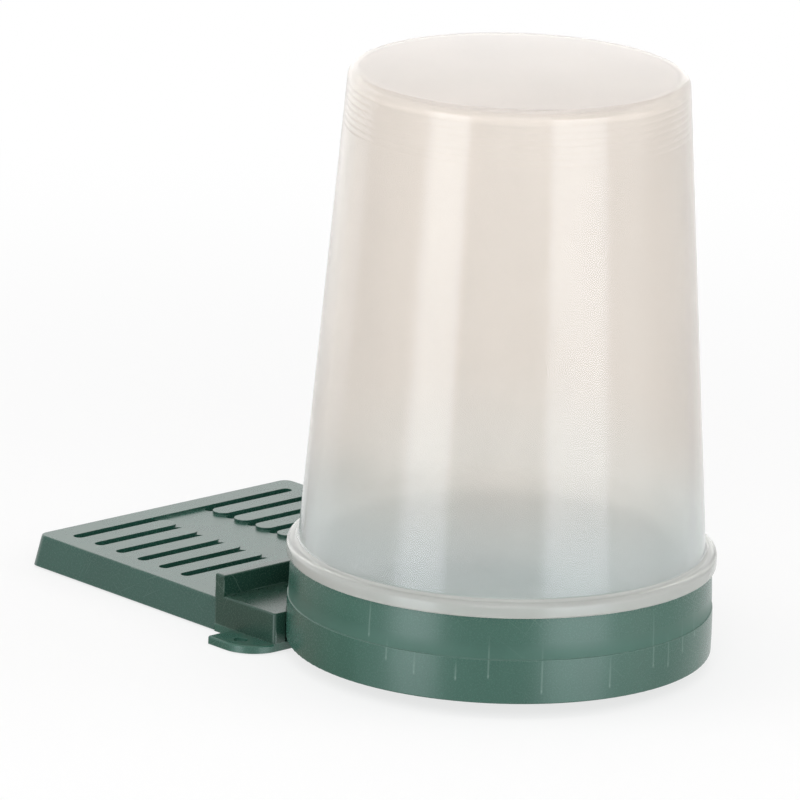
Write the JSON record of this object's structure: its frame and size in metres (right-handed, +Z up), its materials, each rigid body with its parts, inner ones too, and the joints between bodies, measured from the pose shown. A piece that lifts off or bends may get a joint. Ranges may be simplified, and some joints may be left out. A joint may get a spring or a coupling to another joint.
{
  "type": "entrance feeder",
  "caption": "Beehive entrance feeder: translucent upside-down reservoir in a round dish, with a covered channel to a flat tray whose slotted lid lets bees reach the syrup.",
  "frame": {"origin": "centre of the dish's foot, on the ground", "axes": "+Z up along the axis of the dish and reservoir, +Y from the dish towards the slotted tray, X across; mirror symmetric about X = 0"},
  "size_m": [0.1336, 0.227, 0.1869],
  "materials": {
    "green_plastic": "satin moulded, dark bluish green",
    "frosted_plastic": "milky translucent, lightly frosted"
  },
  "bodies": {
    "base": {"base_pan": "green_plastic", "bridge_cover": "green_plastic"},
    "tumbler": {"reservoir": "frosted_plastic"},
    "cover": {"slotted_cover": "green_plastic"}
  },
  "joints": [
    {"name": "reservoir_lift", "type": "slide", "parent": "base", "child": "tumbler", "axis": [0, 0, 1], "range_m": [0, 0.06]},
    {"name": "cover_lift", "type": "slide", "parent": "base", "child": "cover", "axis": [0, 0, 1], "range_m": [0, 0.04]}
  ]
}
